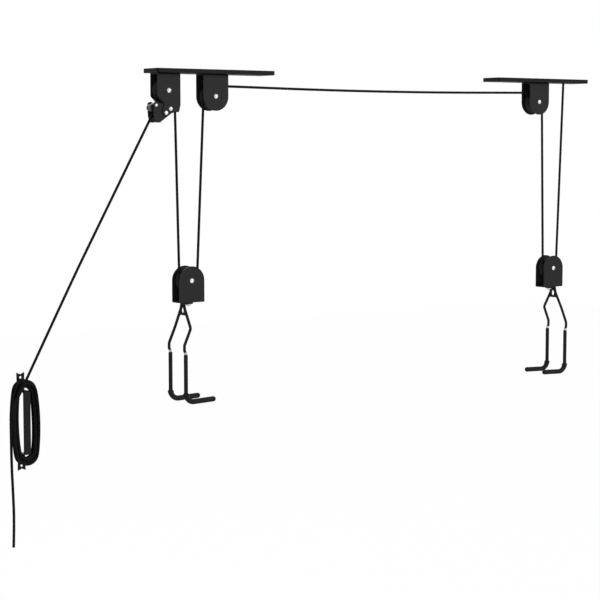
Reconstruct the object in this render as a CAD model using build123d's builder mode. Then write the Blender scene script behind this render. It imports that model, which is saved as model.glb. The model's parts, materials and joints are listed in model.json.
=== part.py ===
from build123d import *
import math
import os

# Ceiling hoist, millimetres. X runs along the span, Y goes back to the wall, Z is up.
# The origin is the centre of the left plate on the ceiling.
os.makedirs("parts", exist_ok=True)

# Rope
rope_d = 4.0
rope_r = rope_d / 2
rope_gap = 0.3
rope_joint = 3.0

# Sheaves
pitch_r = 17.5
rim_lip = 3.5
rim_width = 13.0
rim_floor = 1.5
rim_edge = 1.2
sheave_web = 5.0
hub_r = 8.0
hub_play = 0.5

# Axles and their bushes
axle_r = 3.0
axle_head_r = 4.2
axle_head_h = 1.6
bush_wall = 1.5
fit_gap = 0.05

# Pressed steel housings
sheet = 2.0
cheek_gap = 21.0
cheek_margin = 3.5
axle_drop = 37.0

# Ceiling plates
plate_length = 235.0
plate_width = 48.0
plate_height = 7.5
plate_sheet = 1.8
plate_corner_r = 4.0
plate_edge_r = 1.2
screw_pitch = 87.0
screw_r = 3.25
screw_recess_r = 5.5
rivet_pitch = 24.0
rivet_r = 2.5
rivet_head_r = 4.2
rivet_head_h = 1.2

# Places along the ceiling
plate_span = 748.0
left_housing_x = 4.0
right_housing_inset = 2.0
right_housing_x = plate_span - right_housing_inset
anchor_offset = 72.0
anchor_x = plate_span + anchor_offset
knot_r = 6.0
knot_height = 4.5
knot_edge_r = 1.8

# Hanging blocks
left_block_x = -46.0
left_block_z = -392.0
right_block_offset = 41.0
right_block_x = plate_span + right_block_offset
right_block_z = -406.0

# Rope lock
lock_inset = 29.25
lock_x = lock_inset - plate_length / 2
lock_axle_drop = 28.5
lock_side = 0.75
lock_step = 10.0
lock_nose_x = -8.75
lock_nose_z = -22.5
lock_tongue_x = -13.25
lock_tongue_z = -35.0
lock_toe_x = -8.25
lock_toe_z = -43.5
lock_heel_x = 9.75
lock_heel_z = -36.0
lock_corner = 3.0
lock_corner_z = -24.0
lock_rivets = [(3.25, -30.4), (-5.75, -37.2)]
bracket_heel_z = -35.0
bracket_toe_depth = 28.8
bracket_toe_right = 6.5
bracket_toe_left = -1.5
bracket_side_depth = 18.4
bracket_side_left = -4.5
bracket_shoulder_x = 7.0
bracket_shoulder_z = 3.1
bracket_top_x = 8.25
cam_drop = 24.6
cam_pin_r = 1.8
cam_pin_head_r = 2.8
cam_pin_head_h = 1.2
cam_hub_r = 3.7
cam_disc_r = 5.7
cam_disc_x = -5.0
cam_disc_z = -4.5
cam_width = 9.5
cam_teeth = 18
cam_tooth_r = 0.35
cam_eye_r = 5.5
anvil_start = 2.0
anvil_length = 18.0
anvil_sheet = 2.5
lock_rivet_r = 2.2
lock_rivet_head_r = 3.6
lock_rivet_head_h = 1.4

# Hooks
swivel_r = 3.0
swivel_head_r = 5.5
swivel_head_h = 4.0
swivel_top_r = 5.0
swivel_top_h = 1.8
swivel_play = 0.3
tab_sheet = 2.5
tab_r = 8.0
hook_back = 11.0
hook_half = 25.0
rod_d = 5.0
rod_r = rod_d / 2
rod_weld = 0.5
gusset_sheet = 1.5
gusset_depth = 21.5
gusset_slot = 7.0
gusset_slot_length = 10.0
elbow_depth = 42.5
elbow_r = 10.0
knee_step = 12.5
knee_depth = 70.5
knee_r = 8.0
crank_length = 5.0
crank_r = 4.0
leg_step = 10.0
heel_r = 15.0
toe_reach = 33.0
toe_rise = 2.0
hook_depth = 167.5
crank_depth = 84.5
sleeve_thin = 0.45
sleeve_thick = 1.25
sleeve_start = 1.5
sleeve_collar = 17.0

# Wall cleat
cleat_x = -354.0
cleat_sheet = 2.0
cleat_width = 12.0
cleat_flare = 13.5
cleat_notch = 3.0
cleat_top = -490.0
cleat_bottom = -649.5
cleat_foot = 29.0
cleat_bar_y = -7.0
cleat_wall_y = 16.0
cleat_bend_r = 3.0
cleat_screw_r = 2.25
cleat_screw_edge = 8.0

# Spare rope wound on the cleat
hank_offset = 2.0
hank_x = cleat_x + hank_offset
hank_z = -570.0
hank_y = 4.0
hank_half_width = 21.3
hank_half_height = 69.5
hank_pitch = 4.6
hank_drop = 9.0
hank_turns = 1.5
hank_layers = 4
hank_side_turn = 8.0
lead_lane = 4.8
lead_bend = 0.6
lead_bend_r = 2000.0
lead_reach = 0.5
lead_end_back = 12.0
lead_end_rise = 50.4
lead_end_x = cleat_x - lead_end_back
lead_end_z = hank_z + lead_end_rise

# Sizes that follow
groove_r = rope_r + rope_gap
rim_r = pitch_r + rim_lip
cheek_r = rim_r + cheek_margin
hub_width = cheek_gap - 2 * hub_play
housing_depth = cheek_gap + 2 * sheet
bush_r = axle_r + fit_gap + bush_wall
ceiling_axle_z = -plate_height - axle_drop
lock_axle_z = -plate_height - lock_axle_drop
left_axle_z = left_block_z + axle_drop
right_axle_z = right_block_z + axle_drop
cam_wrap_r = cam_hub_r + rope_gap + rope_r
cam_pin_x = lock_x - pitch_r - cam_wrap_r
cam_pin_z = lock_axle_z - cam_drop
cleat_bar_top = cleat_top - cleat_foot
cleat_bar_bottom = cleat_bottom + cleat_foot


def save(piece, node):
    """Label a finished piece and write it."""
    piece.part.label = node
    export_step(piece.part, f"parts/{node}.step")


def side_plane(x, z):
    """Upright plane facing the front: first direction X, second Z."""
    return Plane(origin=(x, 0, z), x_dir=(1, 0, 0), z_dir=(0, -1, 0))


def cross_plane(x, z):
    """Plane whose first direction runs along a sheave's axis and whose second is up."""
    return Plane(origin=(x, 0, z), x_dir=(0, 1, 0), z_dir=(1, 0, 0))


def post_plane(x, y, z):
    """Plane whose first direction is up and whose second is X."""
    return Plane(origin=(x, y, z), x_dir=(0, 0, 1), z_dir=(0, 1, 0))


def domed_rivet(plane, grip, shank_r, foot_r, foot_h, head_r, head_h):
    """Turn a rivet about the plane's first direction, its shank centred on the plane's origin."""
    half = grip / 2
    domes = []
    for radius, height in ((foot_r, foot_h), (head_r, head_h)):
        ball = (radius**2 + height**2) / (2 * height)
        turn = math.atan2(radius, ball - height) / 2
        domes.append((half + height - ball + ball * math.cos(turn), ball * math.sin(turn)))
    with BuildSketch(plane) as profile:
        with BuildLine():
            Line((-half - foot_h, 0), (half + head_h, 0))
            ThreePointArc((half + head_h, 0), domes[1], (half, head_r))
            Polyline((half, head_r), (half, shank_r), (-half, shank_r), (-half, foot_r))
            ThreePointArc((-half, foot_r), (-domes[0][0], domes[0][1]), (-half - foot_h, 0))
        make_face()
    revolve(profile.sketch, axis=Axis(plane.origin, plane.x_dir))


# Ceiling plates
def ceiling_plate(node, x, housing_xs, rope_holes):
    """Pressed tray, open towards the ceiling, with raised screw pads."""
    hollow = plate_height - plate_sheet
    pads = [(x - screw_pitch / 2, 0), (x + screw_pitch / 2, 0)]
    with BuildPart() as plate:
        with BuildSketch(Plane.XY):
            with Locations((x, 0)):
                RectangleRounded(plate_length, plate_width, plate_corner_r)
        extrude(amount=-plate_height)
        fillet(plate.faces().sort_by(Axis.Z)[0].edges(), plate_edge_r)
        with BuildSketch(Plane.XY):
            with Locations((x, 0)):
                RectangleRounded(plate_length - 2 * plate_sheet, plate_width - 2 * plate_sheet,
                                 plate_corner_r - plate_sheet)
        extrude(amount=-hollow, mode=Mode.SUBTRACT)
        with BuildSketch(Plane.XY):
            with Locations(*pads):
                Circle(screw_recess_r + plate_sheet)
        extrude(amount=-plate_height)
        with BuildSketch(Plane.XY.offset(-plate_height)):
            with Locations(*pads):
                Circle(screw_recess_r)
        extrude(amount=hollow, mode=Mode.SUBTRACT)
        with BuildSketch(Plane.XY):
            with Locations(*pads):
                Circle(screw_r)
            for housing_x in housing_xs:
                with Locations((housing_x, 0)):
                    with GridLocations(rivet_pitch, 0, 2, 1):
                        Circle(rivet_r + fit_gap)
            for hole_x in rope_holes:
                with Locations((hole_x, 0)):
                    Circle(rope_r + rope_gap)
        extrude(amount=-plate_height, mode=Mode.SUBTRACT)
    save(plate, node)


ceiling_plate("ceiling_plate_left", 0, [lock_x, left_housing_x], [])
ceiling_plate("ceiling_plate_right", plate_span, [right_housing_x], [anchor_x])


# Housings
def base_holes(x, z):
    """Cut the two rivet holes through a housing's base."""
    with BuildSketch(Plane.XY.offset(z)) as holes:
        with Locations((x, 0)):
            with GridLocations(rivet_pitch, 0, 2, 1):
                Circle(rivet_r + fit_gap)
    extrude(holes.sketch, amount=-sheet, mode=Mode.SUBTRACT)


def cheeks(piece, x, base_z, way):
    """Bent U of sheet steel with its base at base_z and rounded cheeks towards way."""
    axle_z = base_z + way * axle_drop
    plane = side_plane(x, axle_z)
    with BuildSketch(plane) as cheek:
        Circle(cheek_r)
        with Locations((0, -way * axle_drop / 2)):
            Rectangle(2 * cheek_r, axle_drop)
    extrude(cheek.sketch, amount=housing_depth / 2, both=True)
    fillet(piece.edges().filter_by(Axis.X), sheet)
    with BuildSketch(plane) as channel:
        with Locations((0, way * sheet / 2)):
            Rectangle(2 * cheek_r, 2 * axle_drop - sheet)
    extrude(channel.sketch, amount=cheek_gap / 2, both=True, mode=Mode.SUBTRACT)
    with BuildSketch(plane) as axle_hole:
        Circle(axle_r + fit_gap)
    extrude(axle_hole.sketch, amount=housing_depth, both=True, mode=Mode.SUBTRACT)


for side, housing_x in (("left", left_housing_x), ("right", right_housing_x)):
    with BuildPart() as housing:
        cheeks(housing, housing_x, -plate_height, -1)
        base_holes(housing_x, -plate_height)
    save(housing, f"{side}_housing")

for side, block_x, block_z in (("left", left_block_x, left_block_z), ("right", right_block_x, right_block_z)):
    with BuildPart() as block:
        cheeks(block, block_x, block_z, 1)
        with BuildSketch(Plane.XY.offset(block_z)):
            with Locations((block_x, 0)):
                Circle(swivel_r + fit_gap)
        extrude(amount=sheet, mode=Mode.SUBTRACT)
    save(block, f"{side}_block_housing")


# Lock housing, whose cheeks reach down over the lock bracket
lock_half = rim_r + lock_side
lock_cheek = [(-lock_half, lock_axle_drop), (-lock_half, -lock_step), (lock_nose_x, lock_nose_z),
              (lock_tongue_x, lock_tongue_z), (lock_toe_x, lock_toe_z), (lock_heel_x, lock_heel_z),
              (lock_half - lock_corner, lock_heel_z), (lock_half, lock_corner_z), (lock_half, lock_axle_drop)]
lock_plane = side_plane(lock_x, lock_axle_z)
with BuildPart() as lock_housing:
    with BuildSketch(lock_plane) as cheek:
        with BuildLine():
            Polyline(*lock_cheek, close=True)
        make_face()
        fillet(cheek.vertices().group_by(Axis.Y)[:-1], sheet)
    extrude(amount=housing_depth / 2, both=True)
    fillet(lock_housing.faces().sort_by(Axis.Z)[-1].edges().filter_by(Axis.X), sheet)
    with BuildSketch(lock_plane):
        with Locations((0, -sheet)):
            Rectangle(3 * lock_half, 2 * lock_axle_drop, align=(Align.CENTER, Align.CENTER))
        with Locations((0, -lock_axle_drop)):
            Rectangle(3 * lock_half, 2 * lock_axle_drop, align=(Align.CENTER, Align.CENTER))
    extrude(amount=cheek_gap / 2, both=True, mode=Mode.SUBTRACT)
    with BuildSketch(lock_plane):
        Circle(axle_r + fit_gap)
        with Locations(*lock_rivets):
            Circle(lock_rivet_r + fit_gap)
    extrude(amount=housing_depth, both=True, mode=Mode.SUBTRACT)
    base_holes(lock_x, -plate_height)
save(lock_housing, "lock_housing")

# Rivets that hold the three ceiling housings to their plates
with BuildPart() as housing_rivets:
    for housing_x in (lock_x, left_housing_x, right_housing_x):
        for step in (-rivet_pitch / 2, rivet_pitch / 2):
            middle = -plate_height + (plate_sheet - sheet) / 2
            domed_rivet(post_plane(housing_x + step, 0, middle), sheet + plate_sheet, rivet_r,
                        rivet_head_r, rivet_head_h, rivet_head_r, rivet_head_h)
save(housing_rivets, "housing_rivets")

# Sheaves, each on a bush and a riveted axle
sheave_places = {
    "lock": (lock_x, lock_axle_z),
    "left": (left_housing_x, ceiling_axle_z),
    "right": (right_housing_x, ceiling_axle_z),
    "left_block": (left_block_x, left_axle_z),
    "right_block": (right_block_x, right_axle_z),
}
rim_inner_r = pitch_r - groove_r - rim_floor
for name, (axle_x, axle_z) in sheave_places.items():
    plane = cross_plane(axle_x, axle_z)
    line = Axis(plane.origin, plane.x_dir)
    suffix = "" if name.endswith("block") else "_sheave"
    with BuildPart() as sheave:
        with BuildSketch(plane):
            with Locations((0, (bush_r + fit_gap + hub_r) / 2)):
                Rectangle(hub_width, hub_r - bush_r - fit_gap)
            with Locations((0, (hub_r + rim_inner_r) / 2)):
                Rectangle(sheave_web, rim_inner_r - hub_r)
            with Locations((0, (rim_inner_r + rim_r) / 2)):
                Rectangle(rim_width, rim_r - rim_inner_r)
            with Locations((0, pitch_r)):
                Circle(groove_r, mode=Mode.SUBTRACT)
            with BuildLine():
                mouth = rim_width / 2 - rim_edge
                Polyline((-groove_r, pitch_r), (groove_r, pitch_r), (mouth, rim_r), (-mouth, rim_r), close=True)
            make_face(mode=Mode.SUBTRACT)
        revolve(axis=line)
    save(sheave, f"{name}_sheave")
    with BuildPart() as bush:
        with BuildSketch(plane):
            with Locations((0, bush_r - bush_wall / 2)):
                Rectangle(cheek_gap, bush_wall)
        revolve(axis=line)
    save(bush, f"{name}{suffix}_bush")
    with BuildPart() as axle:
        domed_rivet(plane, housing_depth, axle_r, axle_head_r, axle_head_h, axle_head_r, axle_head_h)
    save(axle, f"{name}{suffix}_axle")

# Line of the rope out of the lock, round the cam's hub
lead_x = lead_end_x - cam_pin_x
lead_z = lead_end_z - cam_pin_z
lead_turn = math.atan2(-lead_x, -lead_z) + math.asin(cam_wrap_r / math.hypot(lead_x, lead_z))
lead_way = Vector(-math.sin(lead_turn), 0, -math.cos(lead_turn))
lead_side = Vector(math.cos(lead_turn), 0, -math.sin(lead_turn))
cam_pin = Vector(cam_pin_x, 0, cam_pin_z)
lead_exit = cam_pin + lead_side * cam_wrap_r

# Lock bracket: two plates inside the lock housing's cheeks, joined by the anvil that the rope bears on
front = side_plane(0, 0)
bracket_inner = cheek_gap / 2 - sheet
bracket_outline = [(lock_x + lock_heel_x, lock_axle_z + bracket_heel_z),
                   (cam_pin_x + bracket_toe_right, cam_pin_z - bracket_toe_depth),
                   (cam_pin_x + bracket_toe_left, cam_pin_z - bracket_toe_depth),
                   (cam_pin_x + bracket_side_left, cam_pin_z - bracket_side_depth),
                   (cam_pin_x - cam_eye_r, cam_pin_z), (cam_pin_x, cam_pin_z + cam_eye_r),
                   (cam_pin_x + bracket_shoulder_x, cam_pin_z + bracket_shoulder_z),
                   (lock_x + bracket_top_x, lock_axle_z + lock_corner_z)]
with BuildPart() as lock_bracket:
    with BuildSketch(front):
        with BuildLine():
            Polyline(*bracket_outline, close=True)
        make_face()
        with Locations((cam_pin_x, cam_pin_z)):
            Circle(cam_eye_r)
    extrude(amount=cheek_gap / 2, both=True)
    with BuildSketch(front):
        with Locations((cam_pin_x, cam_pin_z)):
            Circle(3 * plate_width)
    extrude(amount=bracket_inner, both=True, mode=Mode.SUBTRACT)
    with BuildSketch(front):
        with BuildLine():
            anvil_start_point = lead_exit + lead_way * anvil_start + lead_side * groove_r
            along = lead_way * anvil_length
            across = lead_side * anvil_sheet
            anvil = [anvil_start_point, anvil_start_point + along, anvil_start_point + along + across,
                     anvil_start_point + across]
            Polyline(*[(corner.X, corner.Z) for corner in anvil], close=True)
        make_face()
    extrude(amount=bracket_inner, both=True)
    with BuildSketch(front):
        with Locations((cam_pin_x, cam_pin_z)):
            Circle(cam_pin_r + fit_gap)
        with Locations(*[(lock_x + x, lock_axle_z + z) for x, z in lock_rivets]):
            Circle(lock_rivet_r + fit_gap)
    extrude(amount=housing_depth, both=True, mode=Mode.SUBTRACT)
save(lock_bracket, "lock_bracket")

with BuildPart() as lock_bracket_rivets:
    for x, z in lock_rivets:
        domed_rivet(cross_plane(lock_x + x, lock_axle_z + z), housing_depth, lock_rivet_r,
                    lock_rivet_head_r, lock_rivet_head_h, lock_rivet_head_r, lock_rivet_head_h)
save(lock_bracket_rivets, "lock_bracket_rivets")

with BuildPart() as lock_cam_pin:
    domed_rivet(cross_plane(cam_pin_x, cam_pin_z), cheek_gap, cam_pin_r,
                cam_pin_head_r, cam_pin_head_h, cam_pin_head_r, cam_pin_head_h)
save(lock_cam_pin, "lock_cam_pin")

# Toothed cam that swings on the pin and grips the rope
with BuildPart() as lock_cam:
    with BuildSketch(side_plane(cam_pin_x, cam_pin_z)):
        Circle(cam_hub_r)
        with Locations((cam_disc_x, cam_disc_z)):
            Circle(cam_disc_r)
            with PolarLocations(cam_disc_r, cam_teeth):
                Circle(cam_tooth_r, mode=Mode.SUBTRACT)
        Circle(cam_pin_r + fit_gap, mode=Mode.SUBTRACT)
    extrude(amount=cam_width / 2, both=True)
save(lock_cam, "lock_cam")


# Hooks
def hook_route(x, z, way, side):
    """Corners of one bent rod, from the weld under the tab to the tip of the toe."""
    knee = -hook_back - knee_step
    leg = -hook_back - leg_step
    corners = [(-hook_back, rod_r + rod_weld, -swivel_play - tab_sheet - rod_r),
               (-hook_back, hook_half, -elbow_depth), (knee, hook_half, -knee_depth),
               (knee, hook_half, crank_length - crank_depth), (leg, hook_half, -crank_depth),
               (leg, hook_half, -hook_depth), (toe_reach, hook_half, toe_rise - hook_depth)]
    return [(x + way * u, side * v, z + w) for u, v, w in corners]


rod_radii = [elbow_r, knee_r, crank_r, crank_r, heel_r]
blocks = {"left": (left_block_x, left_block_z, 1), "right": (right_block_x, right_block_z, -1)}
for name, (block_x, block_z, way) in blocks.items():
    tab_z = block_z - swivel_play
    back_x = block_x - way * hook_back
    with BuildPart() as swivel_rivet:
        swivel_grip = sheet + tab_sheet + 2 * swivel_play
        domed_rivet(post_plane(block_x, 0, block_z + sheet - swivel_grip / 2), swivel_grip, swivel_r,
                    swivel_head_r, swivel_head_h, swivel_top_r, swivel_top_h)
    save(swivel_rivet, f"{name}_swivel_rivet")
    with BuildPart() as hook_frame:
        with BuildSketch(Plane.XY.offset(tab_z)):
            with Locations((block_x, 0)):
                Circle(tab_r)
            with Locations((block_x - way * (hook_back + tab_sheet / 2) / 2, 0)):
                Rectangle(hook_back + tab_sheet / 2, 2 * tab_r - tab_sheet)
            with Locations((block_x, 0)):
                Circle(swivel_r + fit_gap, mode=Mode.SUBTRACT)
        extrude(amount=-tab_sheet)
        with BuildSketch(Plane(origin=(back_x, 0, tab_z), x_dir=(0, 1, 0), z_dir=(1, 0, 0))):
            with BuildLine():
                top_half = tab_r - tab_sheet / 2
                low_half = hook_half * gusset_depth / elbow_depth
                Polyline((-top_half, 0), (top_half, 0), (low_half, -gusset_depth), (-low_half, -gusset_depth),
                         close=True)
            make_face()
            with Locations((0, -tab_sheet - gusset_slot_length)):
                SlotOverall(gusset_slot_length, gusset_slot, rotation=90, mode=Mode.SUBTRACT)
        extrude(amount=gusset_sheet / 2, both=True)
        for side in (-1, 1):
            with BuildLine() as rod:
                FilletPolyline(*hook_route(block_x, block_z, way, side), radius=rod_radii)
            with BuildSketch(Plane(origin=rod.line @ 0, z_dir=rod.line % 0)):
                Circle(rod_r)
            sweep()
    save(hook_frame, f"{name}_hook_frame")
    for place, side in (("front", -1), ("back", 1)):
        corners = hook_route(block_x, block_z, way, side)
        leg = corners[4]
        heel = corners[5]
        toe = corners[6]
        leg_top = (leg[0], leg[1], leg[2] - sleeve_start)
        collar = (heel[0], heel[1], heel[2] + sleeve_collar)
        bore_r = rod_r + fit_gap
        with BuildPart() as sleeve:
            with BuildSketch(Plane(origin=leg_top, z_dir=(0, 0, -1))):
                Circle(bore_r + sleeve_thin)
            extrude(amount=leg_top[2] - collar[2])
            with BuildLine() as foot:
                FilletPolyline(collar, heel, toe, radius=heel_r)
            with BuildSketch(Plane(origin=collar, z_dir=(0, 0, -1))):
                Circle(bore_r + sleeve_thick)
            sweep()
            with Locations(toe):
                Sphere(bore_r + sleeve_thick)
            with BuildLine() as bore:
                FilletPolyline(leg_top, heel, toe, radius=heel_r)
            with BuildSketch(Plane(origin=leg_top, z_dir=(0, 0, -1))):
                Circle(bore_r)
            sweep(mode=Mode.SUBTRACT)
        save(sleeve, f"{name}_hook_sleeve_{place}")

# Wall cleat: a bent strip with two feet on the wall and a bar standing off it
foot_y = cleat_wall_y - cleat_sheet / 2
cleat_line = [(foot_y, cleat_top), (foot_y, cleat_top - cleat_foot), (cleat_bar_y, cleat_bar_top),
              (cleat_bar_y, cleat_bar_bottom), (foot_y, cleat_bottom + cleat_foot), (foot_y, cleat_bottom)]
cleat_half = cleat_width / 2
flare_half = cleat_flare / 2
cleat_face = [(-flare_half, cleat_top), (0, cleat_top - cleat_notch), (flare_half, cleat_top),
              (cleat_half, cleat_top - cleat_foot), (cleat_half, cleat_bottom + cleat_foot),
              (flare_half, cleat_bottom), (0, cleat_bottom + cleat_notch), (-flare_half, cleat_bottom),
              (-cleat_half, cleat_bottom + cleat_foot), (-cleat_half, cleat_top - cleat_foot)]
with BuildPart() as wall_cleat:
    with BuildSketch(Plane(origin=(cleat_x, 0, 0), x_dir=(0, 1, 0), z_dir=(1, 0, 0))):
        with BuildLine() as strip:
            FilletPolyline(*cleat_line, radius=cleat_bend_r)
        trace(line_width=cleat_sheet)
    extrude(amount=flare_half, both=True)
    with BuildSketch(side_plane(cleat_x, 0)):
        with BuildLine():
            Polyline(*cleat_face, close=True)
        make_face()
    extrude(amount=2 * cleat_wall_y, both=True, mode=Mode.INTERSECT)
    with BuildSketch(side_plane(cleat_x, 0)):
        with Locations((0, cleat_top - cleat_screw_edge), (0, cleat_bottom + cleat_screw_edge)):
            Circle(cleat_screw_r)
    extrude(amount=2 * cleat_wall_y, both=True, mode=Mode.SUBTRACT)
save(wall_cleat, "wall_cleat")


# Rope
def fall_line(upper, upper_r, lower, lower_r, side):
    """Tangent points of a fall that leaves the upper circle on one side and meets the lower on the other."""
    run = Vector(lower) - Vector(upper)
    down = run.normalized()
    left = Vector(down.Z, 0, -down.X)
    lean = (upper_r + lower_r) / run.length
    out = down * lean + left * side * math.sqrt(1 - lean**2)
    return Vector(upper) + out * upper_r, Vector(lower) - out * lower_r


def at_height(line, z):
    """Point of a fall's line at one height."""
    top, bottom = line
    return top + (bottom - top) * ((z - top.Z) / (bottom.Z - top.Z))


def report_tube(node, piece, length):
    """Print a rope's length and its volume against section times length."""
    ratio = piece.part.volume / (math.pi * rope_r**2 * length)
    print(f"{node}: length {length:.1f} mm, volume ratio {ratio:.4f}")


lock_axle = (lock_x, 0, lock_axle_z)
left_axle = (left_housing_x, 0, ceiling_axle_z)
right_axle = (right_housing_x, 0, ceiling_axle_z)
left_block_axle = (left_block_x, 0, left_axle_z)
right_block_axle = (right_block_x, 0, right_axle_z)
anchor = (anchor_x, 0, -plate_height)
anchor_fall = fall_line(anchor, 0, right_block_axle, pitch_r, 1)
right_fall = fall_line(right_axle, pitch_r, right_block_axle, pitch_r, -1)
left_fall = fall_line(left_axle, pitch_r, left_block_axle, pitch_r, 1)
lock_fall = fall_line(lock_axle, pitch_r, left_block_axle, pitch_r, -1)

falls = {
    "rope_fall_anchor": (anchor_fall, -plate_height, right_axle_z + rope_joint),
    "rope_fall_right": (right_fall, ceiling_axle_z - rope_joint, right_axle_z + rope_joint),
    "rope_fall_left": (left_fall, ceiling_axle_z - rope_joint, left_axle_z + rope_joint),
    "rope_fall_lock": (lock_fall, lock_axle_z - rope_joint, left_axle_z + rope_joint),
}
for node, (line, top_z, bottom_z) in falls.items():
    start = at_height(line, top_z)
    run = at_height(line, bottom_z) - start
    with BuildPart() as fall:
        with BuildSketch(Plane(origin=start)):
            Circle(rope_r)
        extrude(amount=run.length, dir=run.normalized())
    save(fall, node)
    report_tube(node, fall, run.length)

# Loops of rope under the hanging sheaves
bights = {
    "rope_bight_left": (left_block_axle, left_fall, lock_fall),
    "rope_bight_right": (right_block_axle, anchor_fall, right_fall),
}
for node, (axle, first, last) in bights.items():
    joint_z = axle[2] + rope_joint
    with BuildPart() as bight:
        with BuildLine() as route:
            Line(at_height(first, joint_z + rope_d), first[1])
            ThreePointArc(first[1], (axle[0], 0, axle[2] - pitch_r), last[1])
            Line(last[1], at_height(last, joint_z + rope_d))
        with BuildSketch(Plane(origin=route.line @ 0, z_dir=route.line % 0)):
            Circle(rope_r)
        sweep()
        split(bisect_by=Plane.XY.offset(joint_z), keep=Keep.BOTTOM)
    save(bight, node)

# Span between the ceiling sheaves, with its wraps
span_z = ceiling_axle_z + pitch_r
joint_z = ceiling_axle_z - rope_joint
shoulder = pitch_r * math.sqrt(0.5)
with BuildPart() as rope_span:
    with BuildLine() as route:
        Line(at_height(left_fall, joint_z - rope_d), left_fall[0])
        ThreePointArc(left_fall[0], (left_housing_x - shoulder, 0, ceiling_axle_z + shoulder),
                      (left_housing_x, 0, span_z))
        Line((left_housing_x, 0, span_z), (right_housing_x, 0, span_z))
        ThreePointArc((right_housing_x, 0, span_z), (right_housing_x + shoulder, 0, ceiling_axle_z + shoulder),
                      right_fall[0])
        Line(right_fall[0], at_height(right_fall, joint_z - rope_d))
    with BuildSketch(Plane(origin=route.line @ 0, z_dir=route.line % 0)):
        Circle(rope_r)
    sweep()
    split(bisect_by=Plane.XY.offset(joint_z), keep=Keep.TOP)
save(rope_span, "rope_span")

# Stopper knot in the hollow of the right plate, with the rope's end going down through the web
web_top = plate_sheet - plate_height
knot_top = web_top + knot_height
with BuildPart() as rope_anchor_knot:
    with BuildSketch(Plane(origin=(anchor_x, 0, 0), x_dir=(1, 0, 0), z_dir=(0, -1, 0))) as outline:
        with BuildLine():
            Polyline((0, -plate_height), (rope_r, -plate_height), (rope_r, web_top), (knot_r, web_top),
                     (knot_r, knot_top), (0, knot_top), close=True)
        make_face()
        fillet(outline.vertices().sort_by(Axis.X)[-2:], knot_edge_r)
    revolve(axis=Axis((anchor_x, 0, 0), (0, 0, 1)))
save(rope_anchor_knot, "rope_anchor_knot")

# Lead over the lock sheave, through the lock and down to the cleat
hank_front = hank_y - (hank_layers - 1) * hank_pitch / 2
lead_end = Vector(lead_end_x, hank_front - lead_lane, lead_end_z)
lead_corner = lead_exit + lead_way * ((lead_end_z - lead_exit.Z) / lead_way.Z * lead_bend)
lead_joint = lock_axle_z - rope_joint
cam_wrap_middle = cam_pin + (lead_side + Vector(1, 0, 0)).normalized() * cam_wrap_r
with BuildPart() as rope_lead:
    with BuildLine() as route:
        Line(at_height(lock_fall, lead_joint - rope_d), lock_fall[0])
        ThreePointArc(lock_fall[0], (lock_x, 0, lock_axle_z + pitch_r), (lock_x - pitch_r, 0, lock_axle_z))
        Line((lock_x - pitch_r, 0, lock_axle_z), (lock_x - pitch_r, 0, cam_pin_z))
        ThreePointArc((lock_x - pitch_r, 0, cam_pin_z), cam_wrap_middle, lead_exit)
        FilletPolyline(lead_exit, lead_corner, lead_end, radius=lead_bend_r)
    with BuildSketch(Plane(origin=route.line @ 0, z_dir=route.line % 0)):
        Circle(rope_r)
    sweep()
    lead_length = sum(edge.length for edge in route.edges())
    with BuildSketch(Plane.XY.offset(lead_joint)):
        with Locations((at_height(lock_fall, lead_joint).X, 0)):
            Circle(rope_d)
    extrude(amount=-2 * rope_d, mode=Mode.SUBTRACT)
save(rope_lead, "rope_lead")
report_tube("rope_lead", rope_lead, lead_length - rope_d)

# Hank: the rope spirals in and out again, layer behind layer, and ends on its outer left run
hank_total = hank_turns * hank_layers
side_turn = math.radians(hank_side_turn)
side_reach = math.tan(side_turn / 2)
end_reach = math.tan(math.pi / 4 - side_turn / 2)


def hank_inward(turn):
    """How many runs inside the outermost one the winding lies after some turns."""
    layer = min(int(turn // hank_turns), hank_layers - 1)
    inward = turn - layer * hank_turns
    return hank_turns - inward if layer % 2 else inward


def hank_halves(turn):
    """Half width and half height of the winding after some turns."""
    inward = hank_inward(turn)
    return hank_half_width - hank_pitch * inward, hank_half_height - hank_drop * inward


def hank_point(turn):
    """Point and direction of the winding after some turns, counted from its left side."""
    layer = min(int(turn // hank_turns), hank_layers - 1)
    drift = -1 if layer % 2 else 1
    climb = 0
    depth = layer
    if turn % hank_turns == 0:
        drift = 0
        if 0 < turn < hank_total:
            climb = 3 * hank_pitch
            depth = layer - 0.5
    across, tall = hank_halves(turn)
    angle = math.pi * (1 + 2 * turn)
    point = Vector(hank_x + across * math.cos(angle), hank_front + depth * hank_pitch,
                   hank_z + tall * math.sin(angle))
    way = Vector(-drift * hank_pitch * math.cos(angle) - 2 * math.pi * across * math.sin(angle), climb,
                 -drift * hank_drop * math.sin(angle) + 2 * math.pi * tall * math.cos(angle))
    return point, way.normalized()


def biarc(start, start_way, end, end_way, reach):
    """Two arcs that leave the start along its direction and reach the end along its own."""
    chord = end - start
    spread = 1 - start_way.dot(end_way)
    far = (chord.dot(chord) / 2 - reach * chord.dot(start_way)) / (chord.dot(end_way) + reach * spread)
    first = start + start_way * reach
    last = end - end_way * far
    middle = (first * far + last * reach) / (far + reach)
    return [TangentArc(start, middle, tangent=start_way), TangentArc(middle, end, tangent=last - first)]


def quarter_turn(quarter):
    """Arcs of one quarter turn: a flat one along the side and a tight one round the end."""
    across, tall = hank_halves((quarter + 0.5) / 4)
    bulge = (tall - across) / (math.sin(side_turn) + math.cos(side_turn) - 1)
    side_r = across + bulge * math.cos(side_turn)
    end_r = side_r - bulge
    reach = end_r * end_reach if quarter % 2 else side_r * side_reach
    return biarc(*hank_point(quarter / 4), *hank_point((quarter + 1) / 4), reach)


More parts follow.
